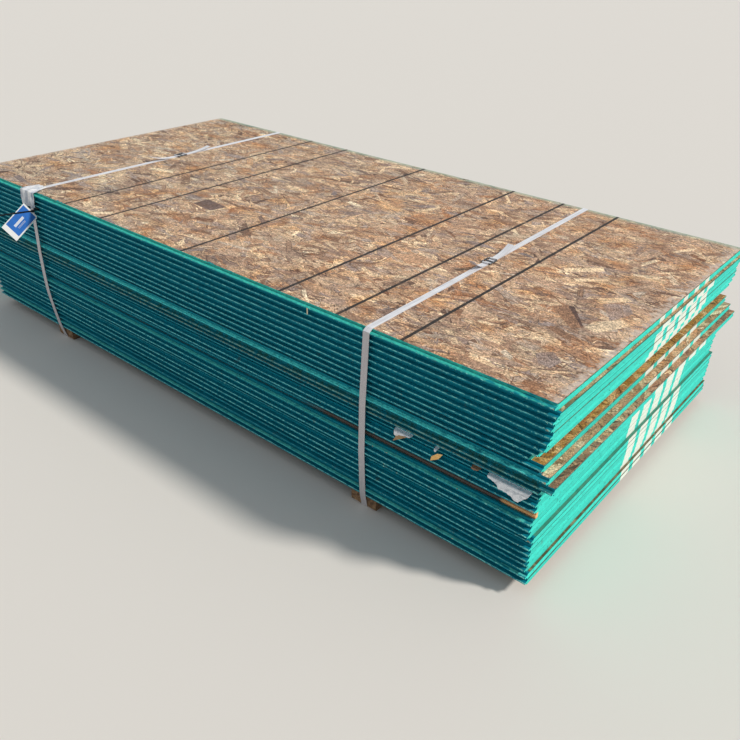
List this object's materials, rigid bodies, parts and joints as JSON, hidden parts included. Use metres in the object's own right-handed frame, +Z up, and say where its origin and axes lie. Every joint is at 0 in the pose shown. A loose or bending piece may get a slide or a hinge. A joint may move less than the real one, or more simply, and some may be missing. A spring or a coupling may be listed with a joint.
{
  "type": "stack of osb panels",
  "caption": "Strapped stack of tongue-and-groove OSB subfloor panels with turquoise sealed edges, lying on two timber bearers, with a hang tag.",
  "frame": {"origin": "on the floor, under the middle of the box around the whole unit, hang tag and tie tail included", "axes": "+X along the panels' 8 ft length, +Y across their width towards the grooved edges, with the tongues and the tag on the -Y side, +Z up"},
  "size_m": [2.5072, 1.3993, 0.5905],
  "materials": {
    "osb_panel": "matte",
    "bearer_timber": "matte",
    "strap_cord": "matte",
    "buckle_wire": "satin",
    "pad_plastic": "satin",
    "tag_card": "satin",
    "tie_nylon": "satin",
    "paper_sheet": "matte",
    "loose_flake": "matte"
  },
  "bodies": {
    "root": {"panel_01": "osb_panel", "panel_02": "osb_panel", "panel_03": "osb_panel", "panel_04": "osb_panel", "panel_05": "osb_panel", "panel_06": "osb_panel", "panel_07": "osb_panel", "panel_08": "osb_panel", "panel_09": "osb_panel", "panel_10": "osb_panel", "panel_11": "osb_panel", "panel_12": "osb_panel", "panel_13": "osb_panel", "panel_14": "osb_panel", "panel_15": "osb_panel", "panel_16": "osb_panel", "panel_17": "osb_panel", "panel_18": "osb_panel", "panel_19": "osb_panel", "panel_20": "osb_panel", "panel_21": "osb_panel", "panel_22": "osb_panel", "panel_23": "osb_panel", "panel_24": "osb_panel", "panel_25": "osb_panel", "panel_26": "osb_panel", "panel_27": "osb_panel", "panel_28": "osb_panel", "bearer_near": "bearer_timber", "bearer_far": "bearer_timber", "strap_near": "strap_cord", "strap_far": "strap_cord", "buckle_near": "buckle_wire", "buckle_far": "buckle_wire", "edge_pad": "pad_plastic", "tag": "tag_card", "tag_tie": "tie_nylon", "torn_paper": "paper_sheet", "splinter_brown": "loose_flake", "splinter_orange": "loose_flake", "splinter_pale": "loose_flake"}
  },
  "joints": []
}
